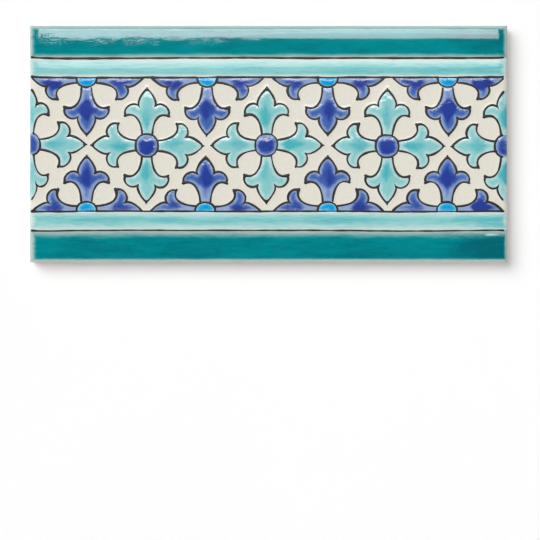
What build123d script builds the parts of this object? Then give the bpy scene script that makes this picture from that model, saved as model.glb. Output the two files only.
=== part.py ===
"""Glazed ceramic border tile: a pressed, fired slab with crowned edge bands and a raised fleur pattern.

The tile lies on its back with the glazed face up. The origin is the middle of the back face.
+X runs along the tile, +Y across it and +Z out of the glazed face. Sizes are in millimetres.
"""

import os

from build123d import *

# Driving dimensions: the slab
repeat_pitch = 50.0  # distance between two crosses of the pattern
repeats = 4  # crosses along the tile, the two half ones at its ends counted as one
tile_width = 99.0
ground_level = 8.0  # back face to the cream ground between the raised fields
arris_radius = 1.3  # soft glazed edge round the face
back_chamfer = 0.8

# Driving dimensions: the bands along the two long edges
outer_band_width = 13.4  # tile edge to the middle of the first drawn line
inner_band_width = 8.0  # first drawn line to the second
outer_band_crown = 0.5  # rise of the glaze in the middle of a band
inner_band_crown = 0.35
line_width = 0.7  # bare valley that the drawn line lies in

# Driving dimensions: the raised fields of the pattern
field_rise = 0.3
boss_radius = 4.1
stem_width = 4.0  # at the foot
neck_width = 5.4  # where the stem turns into the side lobes
neck_height = 8.4  # cross centre to that turn
lobe_span = 18.4  # tip to tip across the two side lobes of a fleur
lobe_height = 12.3  # cross centre to the lobe tips
petal_width = 7.2  # across the notches between petal and lobes
notch_height = 16.3  # cross centre to the notches
tip_gap = 1.0  # from a fleur's tip to half way to the next cross
counter_bow = 2.1  # how far each arc of a fleur stands off its chord
lobe_bow = 2.9
petal_bow = 1.2

# Driving dimensions: the keying grooves of the back
groove_width = 3.0
groove_pitch = 8.0
groove_depth = 0.8
groove_margin = 7.0  # plain border round the grooves

# Sizes that follow
tile_length = repeats * repeat_pitch
half_length = tile_length / 2
half_width = tile_width / 2
first_line = half_width - outer_band_width
second_line = first_line - inner_band_width
half_line = line_width / 2
fleur_tip = repeat_pitch / 2 - tip_gap
stem_foot = boss_radius + line_width
face_top = ground_level + max(outer_band_crown, inner_band_crown, field_rise)


def crowned(inner_edge, outer_edge, crown):
    """One band's glaze in section: an arc over the band, from its inner edge to its outer one."""
    start = (inner_edge, ground_level)
    top = ((inner_edge + outer_edge) / 2, ground_level + crown)
    end = (outer_edge, ground_level)
    return ThreePointArc(start, top, end)


# Section across the tile: half of it is drawn from the middle of the back, and mirrored
with BuildSketch(Plane.YZ) as cross_section:
    with BuildLine():
        Polyline(
            (0, 0),
            (half_width - back_chamfer, 0),
            (half_width, back_chamfer),
            (half_width, ground_level - arris_radius),
        )
        RadiusArc(
            (half_width, ground_level - arris_radius),
            (half_width - arris_radius, ground_level),
            -arris_radius,
        )
        crowned(first_line + half_line, half_width - arris_radius, outer_band_crown)
        Line((first_line + half_line, ground_level), (first_line - half_line, ground_level))
        crowned(second_line + half_line, first_line - half_line, inner_band_crown)
        Line((second_line + half_line, ground_level), (0, ground_level))
        mirror(about=Plane.YZ)
    make_face()

# Section along the tile: the same soft edge over both ends
with BuildSketch(Plane.XZ) as long_section:
    with BuildLine():
        Polyline(
            (0, 0),
            (half_length - back_chamfer, 0),
            (half_length, back_chamfer),
            (half_length, face_top - arris_radius),
        )
        RadiusArc(
            (half_length, face_top - arris_radius),
            (half_length - arris_radius, face_top),
            -arris_radius,
        )
        Line((half_length - arris_radius, face_top), (0, face_top))
        mirror(about=Plane.YZ)
    make_face()

# One fleur, pointing along +Y from the centre of its cross: counter, lobe and petal are an arc each
with BuildSketch() as fleur:
    foot = (stem_width / 2, stem_foot)
    neck = (neck_width / 2, neck_height)
    lobe_tip = (lobe_span / 2, lobe_height)
    notch = (petal_width / 2, notch_height)
    petal_tip = (0, fleur_tip)
    with BuildLine():
        Polyline((0, stem_foot), foot, neck)
        SagittaArc(neck, lobe_tip, counter_bow)
        SagittaArc(lobe_tip, notch, -lobe_bow)
        SagittaArc(notch, petal_tip, -petal_bow)
        mirror(about=Plane.YZ)
    make_face()

# A whole cross: a round boss with a fleur on each side
with BuildSketch() as cross:
    Circle(boss_radius)
    with PolarLocations(0, 4):
        add(fleur.sketch)

# The painted field: a row of crosses down the middle, and half way between them a row on each band,
# cut off by the bands and by the soft edges at the ends
middle_row = [((i - repeats / 2) * repeat_pitch, 0) for i in range(repeats + 1)]
between = [(i + 0.5 - repeats / 2) * repeat_pitch for i in range(repeats)]
band_rows = [(x, y) for x in between for y in (-second_line, second_line)]
with BuildSketch(Plane.XY.offset(ground_level)) as painted_field:
    with Locations(*middle_row, *band_rows):
        add(cross.sketch)
    Rectangle(
        tile_length - 2 * arris_radius,
        2 * (second_line - half_line),
        mode=Mode.INTERSECT,
    )

# Keying grooves: parallel slots in the back that hold the adhesive
groove_count = int((tile_width - 2 * groove_margin - groove_width) / groove_pitch) + 1
with BuildSketch(Plane.XY) as keying:
    with GridLocations(0, groove_pitch, 1, groove_count):
        SlotOverall(tile_length - 2 * groove_margin, groove_width)

with BuildPart() as border_tile:
    extrude(cross_section.sketch, amount=half_length, both=True)
    extrude(long_section.sketch, amount=tile_width, both=True, mode=Mode.INTERSECT)
    extrude(painted_field.sketch, amount=field_rise)
    extrude(keying.sketch, amount=groove_depth, mode=Mode.SUBTRACT)

border_tile.part.label = "border_tile"
os.makedirs("parts", exist_ok=True)
export_step(border_tile.part, "parts/border_tile.step")
print(border_tile.part.bounding_box().size, round(border_tile.part.volume), len(border_tile.part.faces()))
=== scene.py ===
# %% [markdown]
# # A glazed border tile
# The object is one fired tile: a slab of pale earthenware, a cream ground, two pairs of crowned bands and
# a repeat of fleur crosses, each colour a thick drop of glaze inside a drawn dark line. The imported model
# gives the size and the place. It is loaded first, so that every piece is drawn around it.

# %% Load the frame
import math

import bmesh
import bpy
from mathutils import Matrix, Vector, geometry, kdtree, noise
from mathutils.bvhtree import BVHTree


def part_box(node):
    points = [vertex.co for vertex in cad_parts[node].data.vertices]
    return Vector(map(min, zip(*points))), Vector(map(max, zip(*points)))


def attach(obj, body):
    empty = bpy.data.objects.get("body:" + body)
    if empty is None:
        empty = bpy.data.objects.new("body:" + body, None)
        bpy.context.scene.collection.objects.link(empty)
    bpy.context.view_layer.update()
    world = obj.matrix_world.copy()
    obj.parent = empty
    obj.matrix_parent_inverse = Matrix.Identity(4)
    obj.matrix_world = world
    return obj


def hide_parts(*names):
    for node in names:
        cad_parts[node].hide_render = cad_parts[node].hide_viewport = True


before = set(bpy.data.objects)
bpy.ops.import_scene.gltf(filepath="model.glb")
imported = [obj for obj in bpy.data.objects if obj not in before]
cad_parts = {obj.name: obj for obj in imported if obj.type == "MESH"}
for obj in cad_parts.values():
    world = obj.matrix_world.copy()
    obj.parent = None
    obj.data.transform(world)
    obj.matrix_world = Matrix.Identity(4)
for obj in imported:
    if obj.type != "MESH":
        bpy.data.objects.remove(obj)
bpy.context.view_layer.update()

# %% [markdown]
# ## Sizes
# A tile is drawn in millimetres, and Blender works in metres. All shapes below are drawn in millimetres
# and scaled once, when a piece is handed over. The outer sizes come from the frame, so nothing has to be
# fitted.

# %% Sizes in millimetres
MM = 0.001
tile_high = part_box("border_tile")[1] / MM
half_length = tile_high.x
half_width = tile_high.y
outer_crown = 0.5
ground = tile_high.z - outer_crown
outer_band = 13.4
inner_band = 8.0
first_line = half_width - outer_band
second_line = first_line - inner_band
pitch = half_length / 2
print("ground", round(ground, 2), "lines", round(first_line, 2), round(second_line, 2))

# %% [markdown]
# ## Camera
# The photograph looks straight down. Its pixels give the scale and the place of the tile in the picture,
# so the camera stands over the middle of the picture, not over the tile, and needs no lens shift. A long
# lens keeps the edges of the tile upright.

# %% Camera over the picture
PICTURE = 540
tile_left, tile_right = 29.4, 507.8
tile_top, tile_bottom = 25.4, 262.0
pixel = 2 * half_length / (tile_right - tile_left)
view_x = (PICTURE / 2 - (tile_left + tile_right) / 2) * pixel
view_y = ((tile_top + tile_bottom) / 2 - PICTURE / 2) * pixel
camera_data = bpy.data.cameras.new("camera")
camera_data.lens = 100
camera_data.sensor_width = 36
camera_height = ground + PICTURE * pixel * camera_data.lens / camera_data.sensor_width
camera = bpy.data.objects.new("camera", camera_data)
camera.location = Vector((view_x, view_y, camera_height)) * MM
bpy.context.scene.collection.objects.link(camera)
bpy.context.scene.camera = camera
print("pixel", round(pixel, 4), "mm, camera", [round(c, 4) for c in camera.location])

# %% [markdown]
# ## Shader maths
# A glaze is mixed from masks, and masks are arithmetic. Wiring a Math node for each sum by hand hides the
# idea, so a small class wraps a socket and lets Python's operators add the nodes. Every other node comes
# from one method, which sets the node's options first and then its sockets.

# %% A socket that can be calculated with


class Flow:
    """One output socket of a material; sums and products of it become Math nodes."""

    def __init__(self, finish, socket):
        self.finish = finish
        self.socket = socket

    def math(self, operation, first, second):
        return self.finish.add("ShaderNodeMath", {"operation": operation}, {0: first, 1: second})

    def __add__(self, other):
        return self.math("ADD", self, other)

    def __radd__(self, other):
        return self.math("ADD", other, self)

    def __sub__(self, other):
        return self.math("SUBTRACT", self, other)

    def __rsub__(self, other):
        return self.math("SUBTRACT", other, self)

    def __mul__(self, other):
        return self.math("MULTIPLY", self, other)

    def __rmul__(self, other):
        return self.math("MULTIPLY", other, self)


class Finish:
    """A material while it is mixed."""

    def __init__(self, name):
        self.material = bpy.data.materials.new(name)
        self.material.use_nodes = True
        self.tree = self.material.node_tree
        self.tree.nodes.clear()

    def add(self, kind, settings=None, sockets=None, output=0):
        node = self.tree.nodes.new(kind)
        for name, value in (settings or {}).items():
            setattr(node, name, value)
        for name, value in (sockets or {}).items():
            if isinstance(value, Flow):
                self.tree.links.new(value.socket, node.inputs[name])
            else:
                node.inputs[name].default_value = value
        return Flow(self, node.outputs[output]) if node.outputs else None

    def attribute(self, name):
        return self.add("ShaderNodeAttribute", {"attribute_name": name}, output=2)

    def noise(self, size, stretch=(1, 1, 1), detail=3, seed=0, place=None):
        """Soft noise with blots about size millimetres wide, longer along the axes that are stretched."""
        place = place or self.add("ShaderNodeTexCoord", output=3)
        scale = [1 / (MM * size * s) for s in stretch]
        sockets = {"Vector": place, "Scale": scale, "Location": (seed, seed, seed)}
        mapped = self.add("ShaderNodeMapping", {}, sockets)
        return self.add("ShaderNodeTexNoise", {}, {"Vector": mapped, "Scale": 1.0, "Detail": detail})

    def ramp(self, value, low, high, start=0.0, end=1.0):
        """A soft step of value from start to end while it goes from low to high."""
        sockets = {"Value": value, "From Min": low, "From Max": high, "To Min": start, "To Max": end}
        return self.add("ShaderNodeMapRange", {"interpolation_type": "SMOOTHSTEP"}, sockets)

    def blend(self, share, colour, other):
        settings = {"data_type": "RGBA"}
        return self.add("ShaderNodeMix", settings, {0: share, 6: colour, 7: other}, output=2)

    def bump(self, height, distance):
        """Relief from a height of 0 to 1, distance millimetres high."""
        sockets = {"Height": height, "Distance": distance * MM, "Strength": 1.0}
        return self.add("ShaderNodeBump", {}, sockets)

    def surface(self, sockets):
        shader = self.add("ShaderNodeBsdfPrincipled", {}, sockets)
        self.add("ShaderNodeOutputMaterial", {}, {"Surface": shader})
        return self.material


def linear(value):
    """A channel of a picture, 0 to 255, as the share of light that it stands for."""
    share = value / 255
    return share / 12.92 if share <= 0.04045 else ((share + 0.055) / 1.055) ** 2.4


def paint(red, green, blue):
    """A colour as a painter reads it from a picture."""
    return (linear(red), linear(green), linear(blue), 1.0)


print("cream is", [round(c, 3) for c in paint(226, 224, 212)])

# %% [markdown]
# ## Glazes
# A coloured glaze is a stained glass over a pale body. Where it lies thin, at the drawn lines, the body
# shows through, and where it pools it is deep. Each glazed piece therefore carries its own attributes:
# depth, how far a point is from the edge of its field in millimetres, pool, where the brush left more
# colour, brush, a place measured along and across the brush stroke, and stir, how much the glaze boiled
# in the kiln. Soft steps through them, roughened with noise along the stroke, give brush marks that
# follow the drawing.

# %% Finishes


def glaze(
    name, thin, middle, deep, reach, streak, wobble, marks, patch, seed,
    ripple=0.005, boil=9, specular=0.35, rough=0.1,
):
    """A glossy glaze: thin at the edge of its field, middle inside it, deep where it pooled."""
    finish = Finish(name)
    depth = finish.attribute("depth")
    pool = finish.attribute("pool")
    brush = finish.add("ShaderNodeAttribute", {"attribute_name": "brush"}, output=1)
    along = (streak, 1, 1)
    patches = finish.noise(5.5, along, detail=1, seed=seed + 6, place=brush) - 0.5
    blots = finish.noise(2.4, along, seed=seed, place=brush) - 0.5
    bristles = finish.noise(0.5, along, detail=2, seed=seed + 9, place=brush) - 0.5
    strokes = blots * 1.6 + bristles * 0.9
    inside = finish.ramp(depth + strokes * wobble, 0.2, reach)
    pooled = finish.ramp(pool + strokes * marks + patches * patch, 0.1, 1.2)
    colour = finish.blend(pooled, finish.blend(inside, thin, middle), deep)
    fine_boil = finish.noise(0.7, (1.3, 1, 1), detail=1, seed=seed + 3)
    slow_boil = finish.noise(2.8, (1.4, 1, 1), detail=0, seed=seed + 7)
    boiled = (fine_boil + slow_boil * 2) * finish.attribute("stir")
    relief = finish.bump(finish.noise(1.8, detail=1, seed=seed + 4) + boiled * boil, ripple)
    shine = rough + finish.noise(6.0, seed=seed + 5) * 0.05
    sockets = {"Base Color": colour, "Roughness": shine, "Normal": relief, "Specular IOR Level": specular}
    return finish.surface(sockets)


teal_glaze = glaze(
    "teal_glaze", paint(174, 197, 191), paint(0, 143, 149), paint(0, 101, 112),
    reach=2.2, streak=5.0, wobble=0.5, marks=0.55, patch=0.0, seed=1,
    ripple=0.002, boil=25, specular=0.5, rough=0.05,
)
aqua_glaze = glaze(
    "aqua_glaze", paint(204, 222, 218), paint(147, 207, 206), paint(93, 182, 188),
    reach=2.4, streak=8.0, wobble=0.8, marks=0.9, patch=0.6, seed=2,
    ripple=0.003, boil=8, specular=0.22, rough=0.05,
)
turquoise_glaze = glaze(
    "turquoise_glaze", paint(190, 222, 220), paint(138, 201, 202), paint(72, 178, 187),
    reach=2.4, streak=2.2, wobble=1.0, marks=0.6, patch=0.8, seed=3, specular=0.5,
)
cobalt_glaze = glaze(
    "cobalt_glaze", paint(150, 170, 209), paint(69, 103, 175), paint(42, 63, 151),
    reach=2.1, streak=2.2, wobble=1.0, marks=0.6, patch=1.0, seed=4, specular=0.5,
)
sky_glaze = glaze(
    "sky_glaze", paint(150, 218, 235), paint(40, 176, 224), paint(0, 150, 212),
    reach=1.4, streak=1.5, wobble=1.0, marks=0.6, patch=0.8, seed=5,
)
print("glazes", teal_glaze.name, aqua_glaze.name, turquoise_glaze.name, cobalt_glaze.name, sky_glaze.name)

# %% [markdown]
# The cream ground is a plain opaque glaze with a faint speckle. The drawn line is a dry, dark oxide. The
# body of the tile has two finishes in one material: below a wavering line on its sides it is bare
# biscuit, with grain and pores, and above it the cream glaze runs over the edge. The pores are dents with
# painted shade in them.

# %% Plain finishes


def cream_finish():
    finish = Finish("cream_glaze")
    speckle = finish.ramp(finish.noise(0.6, detail=3), 0.3, 0.75)
    drift = finish.noise(14.0, seed=4)
    colour = finish.blend(speckle * 0.45, paint(230, 227, 215), paint(212, 207, 196))
    colour = finish.blend(drift * 0.25, colour, paint(232, 226, 210))
    relief = finish.bump(finish.noise(1.2, detail=2), 0.004)
    return finish.surface({"Base Color": colour, "Roughness": 0.16 + speckle * 0.08, "Normal": relief})


def ink_finish():
    finish = Finish("ink_line")
    worn = finish.ramp(finish.noise(1.6, detail=4), 0.5, 0.85)
    colour = finish.blend(worn * 0.5, paint(40, 37, 38), paint(76, 62, 54))
    relief = finish.bump(finish.noise(0.25, detail=2), 0.02)
    return finish.surface({"Base Color": colour, "Roughness": 0.42 + worn * 0.2, "Normal": relief})


def biscuit_finish():
    finish = Finish("biscuit")
    place = finish.add("ShaderNodeTexCoord", output=3)
    height = finish.add("ShaderNodeSeparateXYZ", {}, {0: place}, output=2)
    glazed = finish.ramp(height * (1 / MM) + finish.noise(5.0) * 0.9, ground - 1.75, ground - 1.55)
    grain = finish.noise(0.35, detail=4)
    blots = finish.noise(9.0, seed=2)
    pores_and_shade = finish.ramp(finish.noise(0.7, detail=1, seed=6), 0.66, 0.74)
    clay = finish.blend(grain * 0.6, paint(224, 214, 202), paint(198, 182, 168))
    clay = finish.blend(blots * 0.35, clay, paint(208, 190, 178))
    # The pores are dents, and they are also painted darker: painted shade inside them.
    clay = finish.blend(pores_and_shade * 0.6, clay, paint(150, 134, 122))
    colour = finish.blend(glazed, clay, paint(222, 218, 206))
    rough = 0.85 - glazed * 0.65
    relief = finish.bump((grain * 0.6 - pores_and_shade) * (1 - glazed), 0.08)
    return finish.surface({"Base Color": colour, "Roughness": rough, "Normal": relief})


cream_glaze = cream_finish()
ink_line = ink_finish()
biscuit = biscuit_finish()
print("plain finishes", cream_glaze.name, ink_line.name, biscuit.name)

# %% [markdown]
# ## Handing a piece over
# Every piece ends the same way: scaled to metres, its faces turned outwards, smooth, riding on the one
# body of the frame and standing for the CAD solid. One function does it for all.

# %% Piece helper


def hand_over(name, bm, material):
    bmesh.ops.scale(bm, vec=(MM, MM, MM), verts=bm.verts)
    bmesh.ops.recalc_face_normals(bm, faces=bm.faces)
    mesh = bpy.data.meshes.new(name)
    bm.to_mesh(mesh)
    bm.free()
    mesh.shade_smooth()
    mesh.materials.append(material)
    piece = bpy.data.objects.new(name, mesh)
    bpy.context.scene.collection.objects.link(piece)
    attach(piece, "root")
    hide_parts("border_tile")
    mesh.calc_loop_triangles()
    print(name, len(mesh.loop_triangles), "triangles")


def move_to(bm, height):
    bmesh.ops.translate(bm, vec=(0, 0, height), verts=bm.verts)


print("every piece rides on root and stands for", list(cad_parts))

# %% [markdown]
# ## The slab
# The slab was pressed from clay: soft edges round its face, a small chamfer round its back and keying
# grooves that hold the adhesive. A cube is scaled and beveled, and slots are cut from its back with a
# Boolean. The slot starts as a circle whose two halves are pulled apart, which keeps its ends round. The
# press left the two ends a little lower than the middle. That roll is a function of the place along the
# tile, because every glaze follows it too.

# %% Slab with a keyed back
glaze_skin = 0.12
arris = 1.3
back_chamfer = 0.8
groove_width, groove_pitch, groove_depth, groove_margin = 3.0, 8.0, 0.8, 7.0
end_roll, end_drop = 4.0, 0.55


def rolled(x):
    """How far the face has sunk at a place along the tile, because it rolls off towards the ends."""
    near = max(0.0, 1 - (half_length - abs(x)) / end_roll)
    return end_drop * near**2.5


def over_arris(x):
    """How far the face has gone down over the soft edge at the end of the tile."""
    over = min(0.98 * arris, max(0.0, abs(x) - half_length + arris))
    return arris - math.sqrt(arris**2 - over**2)


def slab():
    bm = bmesh.new()
    bmesh.ops.create_cube(bm, size=1)
    size = (2 * half_length, 2 * (half_width - glaze_skin), ground - glaze_skin)
    bmesh.ops.scale(bm, vec=size, verts=bm.verts)
    move_to(bm, size[2] / 2)
    top = [e for e in bm.edges if all(v.co.z > size[2] / 2 for v in e.verts)]
    bmesh.ops.bevel(bm, geom=top, offset=arris, segments=5, profile=0.5, affect="EDGES", material=-1)
    for v in bm.verts:
        v.co.z -= rolled(v.co.x) if v.co.z > size[2] / 2 else 0.0
    back = [e for e in bm.edges if all(v.co.z < MM for v in e.verts)]
    bmesh.ops.bevel(bm, geom=back, offset=back_chamfer, segments=1, profile=0.5, affect="EDGES", material=-1)
    return bm


def groove(bm, y):
    """A slot along X, open at the back of the tile."""
    turn = Matrix.Rotation(math.pi / 16, 4, "Z")
    made = bmesh.ops.create_circle(bm, cap_ends=True, segments=16, radius=groove_width / 2, matrix=turn)
    pull = half_length - groove_margin - groove_width / 2
    for v in made["verts"]:
        v.co += Vector((math.copysign(pull, v.co.x), y, -groove_depth))
    face = list({f for v in made["verts"] for f in v.link_faces})
    raised = bmesh.ops.extrude_face_region(bm, geom=face)["geom"]
    top = [g for g in raised if isinstance(g, bmesh.types.BMVert)]
    bmesh.ops.translate(bm, vec=(0, 0, 2 * groove_depth), verts=top)


def grooves():
    bm = bmesh.new()
    count = int((2 * (half_width - groove_margin) - groove_width) / groove_pitch) + 1
    for i in range(count):
        groove(bm, (i - (count - 1) / 2) * groove_pitch)
    bmesh.ops.recalc_face_normals(bm, faces=bm.faces)
    return bm


def scratch_object(name, bm):
    mesh = bpy.data.meshes.new(name)
    bm.to_mesh(mesh)
    bm.free()
    made = bpy.data.objects.new(name, mesh)
    bpy.context.scene.collection.objects.link(made)
    return made


blank = scratch_object("blank", slab())
cutter = scratch_object("cutter", grooves())
cut = blank.modifiers.new("grooves", "BOOLEAN")
cut.operation = "DIFFERENCE"
cut.object = cutter
cut.solver = "EXACT"
keyed = bpy.data.meshes.new_from_object(blank.evaluated_get(bpy.context.evaluated_depsgraph_get()))
bm = bmesh.new()
bm.from_mesh(keyed)
for spare in (blank, cutter):
    bpy.data.objects.remove(spare)
sharp_angle = math.radians(35)
for e in bm.edges:
    e.smooth = e.calc_face_angle(0) < sharp_angle
hand_over("tile_body", bm, biscuit)

# %% [markdown]
# ## A hand that wanders
# The pattern was painted over a stencil, so no two arms are quite alike. One smooth noise field moves the
# drawing a little, and every piece goes through it, so that a glaze and its line wander together. It
# fades out at the edges of the tile, which are cut straight, and is steadier along the bands. Blender
# starts this noise from the clock, so a seed is set first. Every run then draws the same tile.

# %% Wandering hand
noise.seed_set(814)
slow_reach, quick_reach = 55.0, 9.0
slow_sway, quick_sway = 0.4, 0.3
stencil_drop = 0.46
edge_fade = 4.0
band_steadiness = 0.6


def smooth_step(value, low, high):
    share = min(1.0, max(0.0, (value - low) / (high - low)))
    return share * share * (3 - 2 * share)


def hand_drawn(point):
    slow = noise.noise_vector(Vector((point.x / slow_reach, point.y / slow_reach, 3.7)))
    quick = noise.noise_vector(Vector((point.x / quick_reach, point.y / quick_reach, 8.1)))
    room = min(half_length - abs(point.x), half_width - abs(point.y))
    fade = min(1.0, max(0.0, room / edge_fade))
    steady = band_steadiness * smooth_step(abs(point.y), second_line - 3.0, second_line)
    move = slow * slow_sway + quick * quick_sway * (1 - steady)
    move.y -= stencil_drop * smooth_step(point.y, -40.0, 0.0)
    return Vector((point.x + fade * move.x, point.y + fade * move.y, point.z))


print("the hand moves a middle point to", [round(c, 2) for c in hand_drawn(Vector((0, 0, 0)))])

# %% [markdown]
# ## The fleur
# One stencil gives every arm of every cross: a stem, a side lobe and a petal, each a Bezier stroke from a
# boss in the middle. Only its right half is drawn. The boss is a circle pressed a little square by the
# four stems, which a superellipse describes with one number.

# %% Stencil of one arm
fleur_strokes = [
    [(2.15, 4.3), (2.3, 9.4), (4.4, 14.2), (8.7, 12.6)],
    [(8.7, 12.6), (10.6, 15.1), (6.5, 19.2), (3.5, 16.8)],
    [(3.5, 16.8), (4.4, 18.3), (2.25, 22.1), (0.0, 23.9)],
]
stroke_points = 18
boss_radius, boss_power, boss_points = 4.75, 2.15, 40
sky_radius = 4.2
sky_squash = Matrix.Diagonal((1, 0.92, 1, 1))


def stroke(points):
    corners = [Vector((x, y, 0)) for x, y in points]
    return geometry.interpolate_bezier(*corners, stroke_points)


def arm_outline():
    """The closed outline of one arm, pointing along +Y."""
    right = []
    for points in fleur_strokes:
        right += stroke(points)[:-1]
    tip = Vector((*fleur_strokes[-1][-1], 0))
    left = [Vector((-p.x, p.y, 0)) for p in reversed(right)]
    return right + [tip] + left


def rounded(value, power):
    return math.copysign(abs(value) ** (2 / power), value)


def boss_outline(radius):
    outline = []
    for i in range(boss_points):
        angle = 2 * math.pi * i / boss_points
        x = rounded(math.cos(angle), boss_power)
        y = rounded(math.sin(angle), boss_power)
        outline.append(Vector((radius * x, radius * y, 0)))
    return outline


print("an arm has", len(arm_outline()), "points")

# %% [markdown]
# ## Where the crosses stand
# Five turquoise crosses stand on the middle line, the outer two cut in half by the ends of the tile. Four
# cobalt ones stand on each band, half way between, cut in half by the band. The small shifts are the
# painter's: the stencil was laid a little to the left, and lower towards the right end.

# %% Centres of the crosses
middle_shifts = [(0.0, 0.0), (-1.0, -0.3), (-0.95, -0.15), (-0.4, -0.55), (-0.7, -0.8)]
upper_shifts = [-1.1, -0.9, -0.3, 0.1]
lower_shifts = [-0.95, -1.45, -0.15, -0.55]
middle_centres = [Vector(((i - 2) * pitch + x, y, 0)) for i, (x, y) in enumerate(middle_shifts)]
upper_centres = [Vector(((i - 1.5) * pitch + x, second_line, 0)) for i, x in enumerate(upper_shifts)]
lower_centres = [Vector(((i - 1.5) * pitch + x, -second_line, 0)) for i, x in enumerate(lower_shifts)]
band_centres = upper_centres + lower_centres
middle_lengths = (0.99, 0.955, 1.01, 0.98)
upper_lengths = (1.0, 0.97, 1.0, 0.99)
lower_lengths = (0.96, 0.95, 1.0, 0.97)
left_end_width = 0.87


def arm_turns(centre):
    """Quarter turns for the arms that point up, left, down and right, each with its own length."""
    lengths = middle_lengths
    if abs(centre.y) > second_line / 2:
        lengths = upper_lengths if centre.y > 0 else lower_lengths
    for i, length in enumerate(lengths):
        width = left_end_width if centre.x < 5 - half_length and i % 2 == 0 else 1.0
        yield Matrix.Rotation(i * math.pi / 2, 4, "Z") @ Matrix.Diagonal((width, length, 1, 1))


print(len(middle_centres), "crosses on the middle line,", len(band_centres), "on the bands")

# %% [markdown]
# ## Drops of glaze
# A field of glaze is a drop held in by its line. It is made the way it forms: the outline is filled flat,
# cut where the band or the end of the tile cuts it, and divided into small even triangles. Then each
# round lifts the inside a little and lets it settle towards its neighbours, as surface tension does,
# while the edge stays put. Narrow stems come out low and wide places high, with no line where the slopes
# meet.

# %% Fill, divide and swell
field_end = half_length - 0.1
facet = 0.62
edge_sink = 0.05
field_wall = 0.3
swell_rounds = 150
flat_way = {"use_axis_x": True, "use_axis_y": True, "use_axis_z": False}
upward_way = {"use_axis_x": False, "use_axis_y": False, "use_axis_z": True}


def fill(bm, outline, centre, turn=Matrix()):
    verts = [bm.verts.new(turn @ p + centre) for p in outline]
    bm.faces.new(verts)


def trim(bm):
    """Cuts off what lies over the bands or past the ends."""
    bm.normal_update()
    bmesh.ops.triangulate(bm, faces=bm.faces)
    limits = [(Vector((1, 0, 0)), field_end), (Vector((0, 1, 0)), second_line)]
    for axis, limit in limits:
        for out in (-axis, axis):
            everything = bm.verts[:] + bm.edges[:] + bm.faces[:]
            bmesh.ops.bisect_plane(
                bm, geom=everything, dist=0.001, plane_co=out * limit, plane_no=out, clear_outer=True
            )
    bmesh.ops.triangulate(bm, faces=bm.faces)


def divide(bm):
    """Small even triangles inside, with the outline kept."""
    for _ in range(7):
        long = [e for e in bm.edges if e.calc_length() > 1.45 * facet]
        if not long:
            break
        bmesh.ops.subdivide_edges(bm, edges=long, cuts=1)
        bmesh.ops.triangulate(bm, faces=bm.faces)
        settle(bm)
    for _ in range(3):
        settle(bm)


def settle(bm):
    inner = [e for e in bm.edges if not e.is_boundary]
    bmesh.ops.beautify_fill(bm, faces=bm.faces, edges=inner, method="ANGLE")
    inside = [v for v in bm.verts if not v.is_boundary]
    bmesh.ops.smooth_vert(bm, verts=inside, factor=0.6, **flat_way)


def swell(bm, height, reach):
    """Lets the drop rise towards height, over about reach millimetres from its edge."""
    inside = [v for v in bm.verts if not v.is_boundary]
    loss = 0.5 * facet**2 / (4 * reach**2)
    for _ in range(swell_rounds):
        bmesh.ops.scale(bm, vec=(1, 1, 1 - loss), verts=inside)
        bmesh.ops.translate(bm, vec=(0, 0, loss * (height + edge_sink)), verts=inside)
        bmesh.ops.smooth_vert(bm, verts=inside, factor=0.5, **upward_way)


def refine_ends(bm):
    """Smaller triangles where the tile curves off at its ends."""
    curved = [e for e in bm.edges if all(abs(v.co.x) > half_length - 1.5 * arris for v in e.verts)]
    bmesh.ops.subdivide_edges(bm, edges=curved, cuts=2, use_grid_fill=True)
    bmesh.ops.triangulate(bm, faces=bm.faces)


def close_below(bm, thickness):
    """Walls down from the open edge and a floor under each field. The rim stays a sharp edge."""
    rim = [e for e in bm.edges if e.is_boundary]
    for e in rim:
        e.smooth = False
    made = bmesh.ops.extrude_edge_only(bm, edges=rim)["geom"]
    lowered = [g for g in made if isinstance(g, bmesh.types.BMVert)]
    floor_level = min(v.co.z for v in lowered) - thickness
    for v in lowered:
        v.co.z = floor_level
    lower_rim = [g for g in made if isinstance(g, bmesh.types.BMEdge) and g.is_boundary]
    bmesh.ops.holes_fill(bm, edges=lower_rim, sides=0)


print("drops are divided into triangles of", facet, "mm")

# %% [markdown]
# The brush left its load along the middle of an arm: a thin trail up the stem, a wide pool where the
# lobes meet and a point towards the tip of the petal. The pool attribute describes that as a stroke with
# a changing width. Noise from the place of the arm moves the stroke a little and changes its load, so
# that no two arms are alike. The crosses on the lower band got less colour, and those near the right end
# more.

# %% Depth and pool of a drop
drop_stir = 0.03
heart_length, pool_rise = 2.9, 4.0
fade_start, fade_end = 2.5, 8.5
lower_share, half_arm_share = 0.85, 0.85
stem_end, stem_reach = 8.5, 13.0
rich_start, rich_end, rich_extra = 74.0, 88.0, 0.6


def edge_tree(bm):
    """The outlines of the drops, without the left end of the tile, where the colour runs on to the edge."""
    rim = [v for v in bm.verts if v.is_boundary and v.co.x > 0.2 - field_end]
    tree = kdtree.KDTree(len(rim))
    for i, v in enumerate(rim):
        tree.insert((v.co.x, v.co.y, 0), i)
    tree.balance()
    return tree


def write_depth(bm, pool_of):
    tree = edge_tree(bm)
    layers = bm.verts.layers
    depth, pool, stir = (layers.float.new(name) for name in ("depth", "pool", "stir"))
    brush = layers.float_vector.new("brush")
    for v in bm.verts:
        share, v[pool], v[brush] = pool_of(v.co)
        v[depth] = share * tree.find((v.co.x, v.co.y, 0))[2]
        v[stir] = drop_stir


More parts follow.
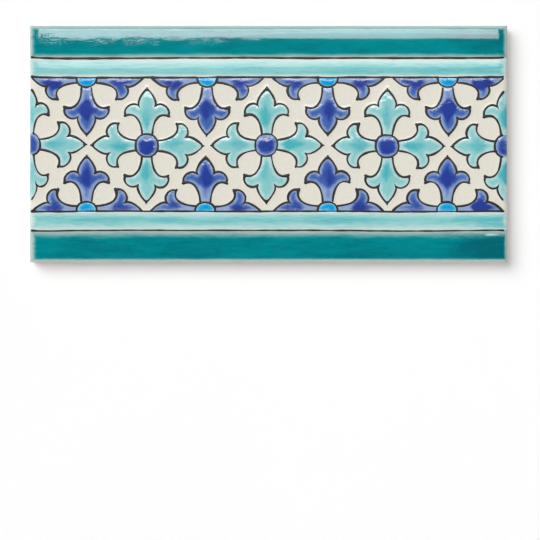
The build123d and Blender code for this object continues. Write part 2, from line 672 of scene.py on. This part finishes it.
def arm_pool(centres, start, heart, trail, spread, load, inset, pale):
    """Colour along each arm from start on: it is widest at heart, trail and spread are its half widths.

    Arms along the tile that a band cuts in half have their pool inset from the cut, more so on the upper
    band. pale says how thin the stems are.
    """

    def pool_of(point):
        centre = min(centres, key=lambda c: (c - point).xy.length_squared)
        offset = (point - centre).xy
        upright = abs(offset.y) > abs(offset.x)
        forward, across = (offset.y, offset.x) if upright else (offset.x, offset.y)
        along, sign = abs(forward), math.copysign(1, forward)
        way = Vector((0, sign, 0)) if upright else Vector((sign, 0, 0))
        own = noise.noise_vector(centre * 0.37 + way * 4.3 + Vector((0.5, 0.5, 0.5)))
        half_arm = inset and not upright
        gap = inset if centre.y > 0 else 0.55 * inset
        across = abs(across) - gap if half_arm else across
        width = trail + spread * math.exp(-(((along - heart - 1.5 * own.x) / heart_length) ** 2))
        trace = max(0.0, 1 - abs(across - 0.9 * own.z) / width)
        lower = centre.y < -second_line / 2
        given = load * (lower_share if lower else 1.0) * (half_arm_share if half_arm else 1.0)
        amount = given * (1 + 0.7 * own.y) * trace**0.7
        amount *= smooth_step(along, start, start + pool_rise)
        amount *= 1 - smooth_step(along, heart + fade_start, heart + fade_end)
        amount *= 1 + rich_extra * smooth_step(point.x, rich_start, rich_end)
        place = Vector((along, across, 40 * own.x)) * MM
        return 1 - pale * (1 - smooth_step(along, stem_end, stem_reach)), amount, place

    return pool_of


core_drop = Vector((0, 0.7, 0))
core_radius, core_reach = 2.0, 4.9
# Painted highlight: from these heights above a boss's middle, its upper side is painted paler.
highlight_start, highlight_end = 0.8, 2.0


def nearest_row(rows, point):
    """The row whose centre, its first value, is nearest to a point."""
    return min(rows, key=lambda row: (row[0] - point).xy.length_squared)


def boss_pool(centres, loads, highlight_caps):
    """A round core, a little below the middle of its boss, where the glaze ran together, under a painted
    highlight: the upper side is painted paler, where the softbox shines on the dome.
    """

    def pool_of(point):
        centre, load, highlight_cap = nearest_row(zip(centres, loads, highlight_caps), point)
        # The upper side is painted paler here: a painted highlight where the softbox shines on the boss.
        above = highlight_cap * smooth_step(point.y - centre.y, highlight_start, highlight_end)
        core = 1 - smooth_step((centre - core_drop - point).xy.length, core_radius, core_reach)
        return 1 - above, load * core * (1 - above), point * MM

    return pool_of


covers = []


def drops(name, material, outlines, pool_of, height, reach, fullness=None):
    """One piece: every field of one glaze, with its height times its fullness."""
    bm = bmesh.new()
    for outline, centre, turn in outlines:
        fill(bm, outline, centre, turn)
    trim(bm)
    divide(bm)
    for v in bm.verts:
        v.co = hand_drawn(v.co)
    write_depth(bm, pool_of)
    swell(bm, height, reach)
    if fullness:
        for v in bm.verts:
            v.co.z *= fullness(v.co)
    refine_ends(bm)
    for v in bm.verts:
        v.co.z -= rolled(v.co.x) + over_arris(v.co.x)
    close_below(bm, field_wall)
    move_to(bm, ground - edge_sink)
    covers.append(BVHTree.FromBMesh(bm))
    hand_over(name, bm, material)


print("the core of a boss lies", core_drop.y, "mm below its middle")

# %% [markdown]
# ## The painted fields
# Turquoise arms on the middle crosses, cobalt arms on the band crosses, cobalt bosses in the middle of
# the turquoise crosses, and sky blue half bosses on the bands. The round bosses are the thickest drops,
# so their upper sides mirror the light, but they are not equally full: those towards the ends of the tile
# are flatter. Their upper sides are also painted paler, a painted highlight.

# %% Fields of the crosses
arm = arm_outline()


def arms(centres):
    return [(arm, centre, turn) for centre in centres for turn in arm_turns(centre)]


def bosses(centres, radius, turn):
    return [(boss_outline(radius), centre, turn) for centre in centres]


boss_loads = (0.95, 1.1, 1.1, 1.1, 0.85)
# How strongly the upper side of each boss is painted paler: a painted highlight, strongest where the softbox
# shines.
boss_highlight_caps = (0.0, 0.4, 0.4, 0.15, 0.0)
boss_rises = (0.5, 1.0, 1.0, 0.65, 0.5)


def boss_fullness(point):
    return nearest_row(zip(middle_centres, boss_rises), point)[1]


middle_pool = arm_pool(
    middle_centres, start=5.0, heart=11.0, trail=1.3, spread=3.2, load=0.85, inset=0.0, pale=0.15
)
band_pool = arm_pool(
    band_centres, start=8.0, heart=13.5, trail=1.1, spread=3.8, load=1.4, inset=2.4, pale=0.5
)
core_pool = boss_pool(middle_centres, boss_loads, boss_highlight_caps)
sky_pool = boss_pool(band_centres, [0.9] * len(band_centres), [0.0] * len(band_centres))
round_bosses = bosses(middle_centres, boss_radius, Matrix())
sky_bosses = bosses(band_centres, sky_radius, sky_squash)
drops("turquoise_fleurs", turquoise_glaze, arms(middle_centres), middle_pool, 1.3, 4.0)
drops("cobalt_fleurs", cobalt_glaze, arms(band_centres), band_pool, 1.2, 4.0)
drops("cobalt_bosses", cobalt_glaze, round_bosses, core_pool, 3.4, 4.0, boss_fullness)
drops("sky_bosses", sky_glaze, sky_bosses, sky_pool, 1.2, 3.0)

# %% [markdown]
# ## The bands
# Along each long side runs a wide teal band and a narrow aqua one, both crowned. A grid is bent to the
# band's section: each row of the grid is one line along the tile, and the section says where that row
# lies. The outer section starts on the side of the tile, goes over the soft edge and then over the crown
# to the drawn line.

# %% Sections of the bands
along_steps, arris_steps, crown_steps = 420, 8, 26
side_run = 1.2
inner_crown = 0.36
outer_apex, inner_apex = 6.6, 0.62
shoulder = math.radians(8)


def crown_height(share, crown, apex):
    """Height over a band at a share of its width; the apex is the share where it is highest."""
    power = math.log(0.5) / math.log(apex)
    return crown * (1 - (2 * share**power - 1) ** 2)


def outer_section():
    """Rows across the outer band: distance in from the side, level of the edge, height of the crown."""
    rows = [(0.0, -arris - side_run, 0.0), (0.0, -arris - side_run / 3, 0.0)]
    for i in range(arris_steps + 1):
        tilt = math.pi / 2 + (shoulder - math.pi / 2) * i / arris_steps
        rows.append((arris * (1 - math.sin(tilt)), arris * (math.cos(tilt) - 1), 0.0))
    foot, level, _ = rows[-1]
    rise = math.tan(shoulder) * (outer_apex - foot) / 2
    for i in range(1, crown_steps + 1):
        across = foot + (outer_band - foot) * i / crown_steps
        climb = (outer_apex - across) / (outer_apex - foot)
        fall = (across - outer_apex) / (outer_band - outer_apex)
        crown = rise * (1 - climb**2) if climb > 0 else (rise + edge_sink + level) * (1 - fall**2.2)
        rows.append((across, level if climb > 0 else -edge_sink, crown))
    return rows


def inner_section():
    """Rows across the inner band: distance in from the first line, level of the edge, height of the crown."""
    shares = [i / crown_steps for i in range(crown_steps + 1)]
    return [(inner_band * s, -edge_sink, crown_height(s, inner_crown, inner_apex)) for s in shares]


print("outer section", len(outer_section()), "rows, inner section", len(inner_section()), "rows")

# %% [markdown]
# The glaze is never quite flat. It pooled towards the right end, slow swells move the edge of a
# reflection up and down, and the ends roll off over the edge of the slab. The pool makes the crown a
# little higher there, and the same number makes its colour deeper.

# %% Bend a grid to a section
swell_height = 0.012
band_end = half_length - 0.03
band_wall = 0.25


def band_load(x, y):
    """How much glaze lies at a place of the bands; 1 is the usual amount."""
    drift = noise.noise(Vector((x / 42.0, y / 14.0, 2.2)))
    pooled_end = smooth_step(x, 70.0, 92.0)
    usual = 1.0 if y > 0 else 1.12
    return usual + 0.3 * drift + (0.3 if y > 0 else 0.5) * pooled_end


def late_run(x, y):
    """A second run of glaze at the lower right, which ends in a rounded step near the first line."""
    below = -first_line - y
    step = smooth_step(below, 1.3, 3.2) * (1 - smooth_step(below, 3.4, 9.0))
    return 0.24 * step * smooth_step(x, 87.3, 92.3) * (1 - smooth_step(x, 96.5, 98.5))


def bend_band(bm, section, start, side):
    last = len(section) - 1
    made = bmesh.ops.create_grid(bm, x_segments=along_steps, y_segments=last, size=0.5)["verts"]
    for v in made:
        across, level, crown = section[round((v.co.y + 0.5) * last)]
        x = v.co.x * 2 * band_end
        flat = Vector((x, side * (start - across), 0))
        slow = noise.noise(Vector((x / 7.0, flat.y / 5.0, 1.3)))
        quick = noise.noise(Vector((x / 2.2, flat.y / 2.2, 5.3)))
        lift = crown * (0.75 + 0.25 * band_load(x, flat.y)) + crown * 2 * swell_height * (slow + 0.4 * quick)
        lift += late_run(x, flat.y)
        skirt = 0.5 * noise.noise(Vector((x / 5.0, flat.y, 6.1))) if level < -arris - side_run / 2 else 0.0
        drawn = hand_drawn(flat)
        top = min(min(level, -over_arris(x)) + lift + skirt, outer_crown)
        v.co = Vector((drawn.x, drawn.y, top - rolled(x) * max(0.0, 1 + level / arris)))


def end_depth(x, y):
    """Depth that the soft ends leave; the glaze ran off most at the lower left."""
    start, growth = (0.2, 0.95) if y > 0 else (0.7, 0.95)
    if x > 0:
        start, growth = (0.5, 1.3) if y > 0 else (0.35, 1.5)
    aqua = abs(y) < first_line
    return (half_length - abs(x) - start) * growth * (0.7 if aqua and x > 0 else 1.0)


def write_band_depth(bm, edge, line, edge_thin, line_thin):
    """Depth from the outer edge, the inner line and the ends of a band.

    edge_thin and line_thin give, for the upper band and for the lower one, where the depth starts and how
    it grows. The glaze boiled on the left half of the upper band, away from its edge.
    """
    layers = bm.verts.layers
    depth, pool, stir = (layers.float.new(name) for name in ("depth", "pool", "stir"))
    brush = layers.float_vector.new("brush")
    for v in bm.verts:
        lower = v.co.y < 0
        across = abs(v.co.y)
        edge_start, edge_growth = edge_thin[lower]
        line_start, line_growth = line_thin[lower]
        from_edge = (edge - across - edge_start) * edge_growth
        from_line = (across - line - line_start) * line_growth
        v[depth] = max(0.0, min(from_edge, from_line, end_depth(v.co.x, v.co.y)))
        v[pool] = min(1.0, v[depth] / 3.0) * (band_load(v.co.x, v.co.y) - 0.5)
        boiled = smooth_step(-v.co.x, -10.0, 28.0) * smooth_step(edge - across, 2.6, 5.2)
        v[stir] = 0.0 if lower else boiled
        v[brush] = v.co * MM


def band(name, material, section, start, stop, edge_thin, line_thin):
    bm = bmesh.new()
    for side in (-1, 1):
        bend_band(bm, section, start, side)
    write_band_depth(bm, start, stop, edge_thin, line_thin)
    close_below(bm, band_wall)
    move_to(bm, ground)
    hand_over(name, bm, material)


teal_edges = [(0.65, 1.4), (0.5, 1.8)]
teal_lines = [(-0.3, 1.0), (-0.35, 0.55)]
aqua_edges = [(0.0, 0.6), (-0.4, 0.65)]
aqua_lines = [(0.0, 1.8), (0.0, 0.8)]
band("teal_bands", teal_glaze, outer_section(), half_width, first_line, teal_edges, teal_lines)
band("aqua_bands", aqua_glaze, inner_section(), first_line, second_line, aqua_edges, aqua_lines)

# %% [markdown]
# ## The drawn lines
# A dark line keeps the glazes apart. It was drawn with a loaded brush, so it swells and thins, is heavier
# at the tips and stops short of the ends of the tile. Each stroke is a curve with its own radius at every
# point, turned into a tube, and the tubes are pressed flat. Strokes end at the sharp corners, as a brush
# is lifted there.

# %% Strokes of the pattern
line_radius = 0.37
line_left, line_right = 1.0 - half_length, half_length - 1.9
pattern_weight = 1.13
lobe_spur, notch_run, petal_spur = 0.5, 1.3, 0.55
long_steps = 260
long_lines = [
    (first_line + 0.15, 1.1),
    (second_line + 0.1, 1.15),
    (-second_line - 0.1, 1.05),
    (-first_line - 0.15, 0.82),
]


def placed(points, centre, turn):
    return [hand_drawn(turn @ p + centre) for p in points]


def beyond(before, last, reach):
    return last + (last - before).normalized() * reach


def arm_strokes(centre, turn):
    """The strokes of one arm, each with the load of the brush at its start, at its end and between."""
    side, lobe, petal = (stroke(points) for points in fleur_strokes)
    side.append(beyond(side[-2], side[-1], lobe_spur))
    petal.insert(0, beyond(petal[1], petal[0], notch_run))
    loads = [(1.0, 1.35, pattern_weight), (1.3, 1.0, pattern_weight), (0.4, 1.2, pattern_weight)]
    for mirrored in (1, -1):
        for run, load in zip((side, lobe, petal), loads):
            yield placed([Vector((mirrored * p.x, p.y, 0)) for p in run], centre, turn), load
    spur = [petal[-1] + Vector((0, petal_spur * share, 0)) for share in (-0.8, -0.4, 0.0, 0.35, 0.7, 1.0)]
    yield placed(spur, centre, turn), (1.2, 0.7, 1.2 * pattern_weight)


def boss_strokes():
    even = (1.0, 1.0, pattern_weight)
    outline = boss_outline(boss_radius)
    for centre in middle_centres:
        start = boss_points // 2 if centre.x < 0 else 0
        yield placed(outline[start:] + outline[:start + 1], centre, Matrix()), even
    half = [p for p in boss_outline(sky_radius) if p.y > -0.1]
    half.sort(key=lambda p: p.x)
    for centre in band_centres:
        inwards = Matrix.Scale(-math.copysign(1, centre.y), 4, (0, 1, 0))
        yield placed(half, centre, inwards @ sky_squash), even


def pattern_strokes():
    """Every stroke of the pattern, as far as it lies on the painted field."""
    strokes = list(boss_strokes())
    for centre in middle_centres + band_centres:
        for turn in arm_turns(centre):
            strokes += arm_strokes(centre, turn)
    for points, load in strokes:
        kept = [p for p in points if line_left < p.x < line_right and abs(p.y) < second_line + 0.2]
        if len(kept) > 2:
            yield kept, load


def long_strokes():
    xs = [line_left + (line_right - line_left) * i / long_steps for i in range(long_steps + 1)]
    for y, weight in long_lines:
        yield [hand_drawn(Vector((x, y, 0))) for x in xs], (1.5, 1.1, weight)


ink_strokes = list(pattern_strokes()) + list(long_strokes())
print(len(ink_strokes), "strokes")

# %% [markdown]
# A brush stroke is a low rounded bead. A curve object can be given a round section and a radius at every
# point, which a mesh made by hand can't have so easily, so the strokes become one curve first. It is then
# turned into a mesh and pressed flat, with its lower half sunk into the glaze, and its ends follow the
# roll of the tile.

# %% Tubes pressed flat
flatness = 0.3
root_depth = 2.5
ink_lift = 0.15
lifting_points = 4


def ink_load(point, i, last, load):
    """Radius of a stroke at one of its points, as a share of the usual one."""
    start, end, weight = load
    drift = 1.0 + 0.5 * noise.noise(point * 0.21 + Vector((0, 0, 9.1)))
    beside_boss = min((point - c).xy.length for c in band_centres) < sky_radius - 0.3
    scraped = 0.62 if beside_boss and abs(abs(point.y) - second_line) < 0.8 else 1.0
    set_down = start + (1 - start) * min(1.0, i / lifting_points)
    lifted = end + (1 - end) * min(1.0, (last - i) / lifting_points)
    return drift * scraped * set_down * lifted * weight


def round_off(points, radii):
    """Adds two smaller points beyond the last one, so that it ends like a drop, and turns the stroke."""
    way = (points[-1] - points[-2]).normalized() * line_radius * radii[-1]
    points = points + [points[-1] + way * share for share in (0.6, 0.9)]
    radii = radii + [radii[-1] * share for share in (0.8, 0.44)]
    return points[::-1], radii[::-1]


def ink_curve(strokes):
    data = bpy.data.curves.new("ink", "CURVE")
    data.dimensions = "3D"
    data.bevel_depth = line_radius * MM
    data.bevel_resolution = 1
    data.use_fill_caps = True
    for points, load in strokes:
        radii = [ink_load(p, i, len(points) - 1, load) for i, p in enumerate(points)]
        points, radii = round_off(*round_off(points, radii))
        spline = data.splines.new("POLY")
        spline.points.add(len(points) - 1)
        for knot, p, radius in zip(spline.points, points, radii):
            knot.co = (*(p * MM), 1.0)
            knot.radius = radius
    return bpy.data.objects.new("ink", data)


ink_source = ink_curve(ink_strokes)
bpy.context.scene.collection.objects.link(ink_source)
tubes = bpy.data.meshes.new_from_object(ink_source.evaluated_get(bpy.context.evaluated_depsgraph_get()))
bpy.data.objects.remove(ink_source)
bm = bmesh.new()
bm.from_mesh(tubes)
bmesh.ops.scale(bm, vec=(1 / MM, 1 / MM, flatness / MM), verts=bm.verts)
for v in bm.verts:
    v.co.z *= root_depth if v.co.z < 0 else 1.0
    v.co.z -= rolled(v.co.x) + over_arris(v.co.x)
move_to(bm, ground + ink_lift)
hand_over("ink_lines", bm, ink_line)

# %% [markdown]
# ## The cream ground
# Between the lines lies the cream glaze, flat, with its edge drawn up a little where it meets a line,
# like water at the wall of a glass. That small concave rim catches the light. A fine grid covers the
# painted field; a tree of the drawn points gives each vertex its distance to the nearest line, and under
# a coloured drop the ground sinks out of the way.

# %% Ground with a raised rim
ground_facet = 0.42
rim_height, rim_reach, rim_start = 0.17, 1.2, 0.3
under_drop = 0.25
under_band = 0.2


def line_tree():
    points = [p for points, _ in ink_strokes for p in points]
    tree = kdtree.KDTree(len(points))
    for i, p in enumerate(points):
        tree.insert((p.x, p.y, 0), i)
    tree.balance()
    return tree


def covered(point):
    above = Vector((point.x, point.y, 2 * ground))
    return any(cover.ray_cast(above, Vector((0, 0, -1)))[0] for cover in covers)


def cream_ground():
    bm = bmesh.new()
    long = round(2 * half_length / ground_facet)
    wide = round(2 * second_line / ground_facet)
    bmesh.ops.create_grid(bm, x_segments=long, y_segments=wide, size=0.5)
    size = (2 * half_length - 0.1, 2 * (second_line + under_band), 1)
    bmesh.ops.scale(bm, vec=size, verts=bm.verts)
    tree = line_tree()
    for v in bm.verts:
        distance = tree.find(v.co)[2]
        rim = max(0.0, 1 - max(0.0, distance - rim_start) / rim_reach)
        level = -under_drop if covered(v.co) else rim_height * rim**1.5
        v.co.z = level - rolled(v.co.x) - over_arris(v.co.x)
    close_below(bm, field_wall)
    move_to(bm, ground)
    return bm


hand_over("cream_ground", cream_ground(), cream_glaze)

# %% [markdown]
# ## Studio
# The tile lies on a white table. A long softbox beyond its upper edge is what the crowned bands mirror.
# The rest of the light is soft and comes from the upper left, which puts a faint shadow to the right and
# below. A low fill from the near side brightens the lower edge. The world lights the tile evenly, but
# looks dark in a mirror, as a studio's ceiling does.

# %% Table


def table_finish():
    finish = Finish("table_white")
    drift = finish.noise(160.0)
    colour = finish.blend(drift, (0.97, 0.97, 0.97, 1), (0.99, 0.99, 0.99, 1))
    return finish.surface({"Base Color": colour, "Roughness": 0.9})


bm = bmesh.new()
bmesh.ops.create_grid(bm, x_segments=1, y_segments=1, size=2.0)
table = scratch_object("table", bm)
table.data.materials.append(table_finish())
print("table", tuple(round(d, 2) for d in table.dimensions))

# %% [markdown]
# A bright softbox would also wash out the colours, so the softboxes are seen in reflections only, and the
# key light only shades. What a glossy glaze mirrors straight above it is a dark ceiling, and near the
# horizon a paler wall, so the bands look deep from above and still shine from the side.

# %% Lights


def add_light(name, kind, place, target, power):
    data = bpy.data.lights.new(name, kind)
    data.energy = power
    light = bpy.data.objects.new(name, data)
    light.location = place
    light.rotation_euler = (Vector(target) - Vector(place)).to_track_quat("-Z", "Y").to_euler()
    bpy.context.scene.collection.objects.link(light)
    print(name, power)
    return light


key_light = add_light("key", "SUN", (-0.62, 0.5, 1.0), (0, 0, 0), 2.32)
key_light.data.angle = math.radians(46)
fill_light = add_light("fill", "SUN", (0.0, -1.0, 0.35), (0, 0, 0), 0.8)
fill_light.data.use_shadow = False
for light in (key_light, fill_light):
    light.visible_glossy = False
for name, y, power in (("softbox_near", 0.135, 0.28), ("softbox_far", 0.172, 0.37)):
    softbox = add_light(name, "AREA", (0.0, y, 0.32), (0, y - 0.1, 0.0), power)
    softbox.data.shape = "RECTANGLE"
    softbox.data.size, softbox.data.size_y = 0.3, 0.038
    softbox.visible_diffuse = False

world = bpy.data.worlds.new("studio")
bpy.context.scene.world = world
world.use_nodes = True
nodes, links = world.node_tree.nodes, world.node_tree.links
nodes.clear()


def backdrop(strength):
    node = nodes.new("ShaderNodeBackground")
    node.inputs["Color"].default_value = (1, 1, 1, 1)
    node.inputs["Strength"].default_value = strength
    return node


def join(share, first, second):
    node = nodes.new("ShaderNodeMixShader")
    links.new(share, node.inputs[0])
    links.new(first.outputs[0], node.inputs[1])
    links.new(second.outputs[0], node.inputs[2])
    return node


way = nodes.new("ShaderNodeTexCoord")
split = nodes.new("ShaderNodeSeparateXYZ")
links.new(way.outputs["Object"], split.inputs[0])
overhead = nodes.new("ShaderNodeMapRange")
overhead.inputs["From Min"].default_value = 0.35
overhead.inputs["From Max"].default_value = 0.85
links.new(split.outputs["Z"], overhead.inputs["Value"])
mirrored = join(overhead.outputs[0], backdrop(0.3), backdrop(0.04))
path = nodes.new("ShaderNodeLightPath")
felt = join(path.outputs["Is Glossy Ray"], backdrop(0.36), mirrored)
seen = join(path.outputs["Is Camera Ray"], felt, backdrop(1.0))
out = nodes.new("ShaderNodeOutputWorld")
links.new(seen.outputs[0], out.inputs[0])
bpy.context.scene.view_settings.view_transform = "Standard"
print("world", world.name)
